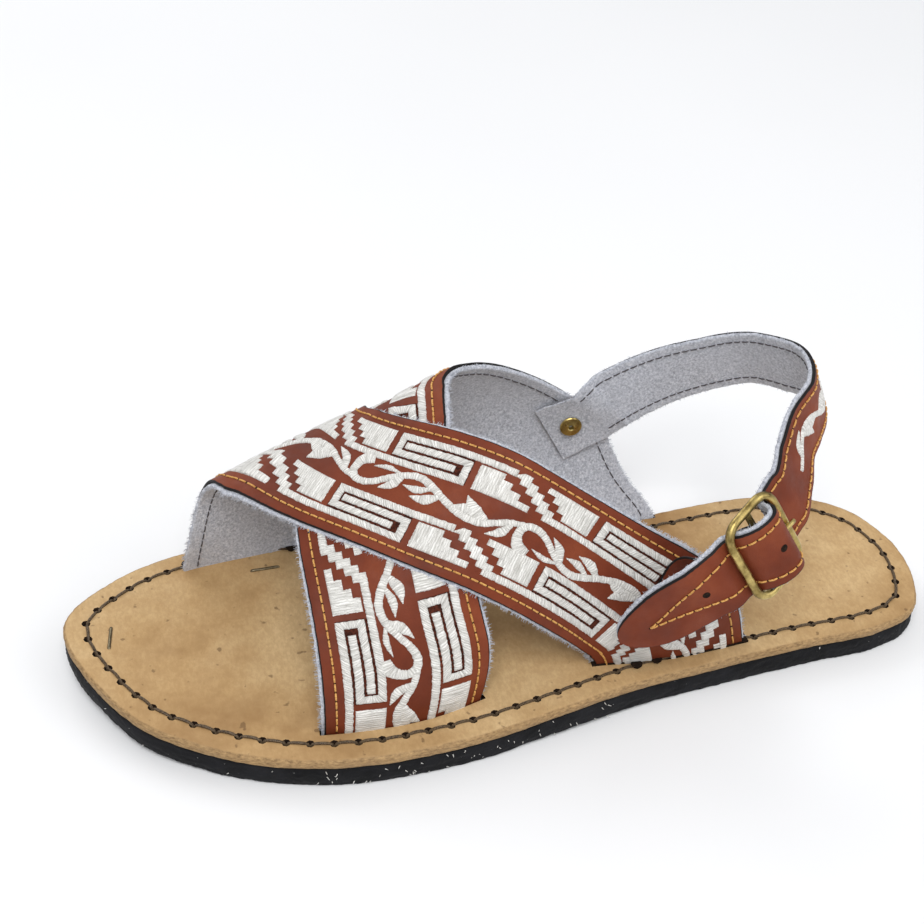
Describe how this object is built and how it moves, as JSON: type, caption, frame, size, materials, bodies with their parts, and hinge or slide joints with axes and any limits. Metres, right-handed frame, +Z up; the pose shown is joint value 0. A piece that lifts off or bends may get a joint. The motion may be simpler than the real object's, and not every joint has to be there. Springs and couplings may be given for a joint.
{
  "type": "huarache sandal",
  "caption": "Open leather sandal with crossed embroidered straps set into slots of a stitched insole, a buckled heel strap and a tyre-rubber outsole.",
  "frame": {"origin": "bottom centre of the bounding box, on the floor under the middle of the sole", "axes": "+X from the heel to the toe, +Y to the outer (lateral) side of the foot, +Z up"},
  "size_m": [0.2845, 0.1057, 0.0935],
  "materials": {
    "outsole_rubber": "black tyre rubber with a rough cut side",
    "insole_leather": "undyed vegetable-tanned leather",
    "strap_leather": "smooth brown leather lined with grey suede",
    "brass": "worn antique brass",
    "staple_steel": "dulled steel wire"
  },
  "bodies": {
    "root": {"outsole": "outsole_rubber", "insole": "insole_leather", "upper": "strap_leather", "heel_strap": "strap_leather", "buckle_tab": "strap_leather", "buckle_ring": "brass", "buckle_prong": "brass", "rivet": "brass", "staple_toe": "staple_steel", "staple_ball": "staple_steel", "staple_waist": "staple_steel"}
  },
  "joints": []
}
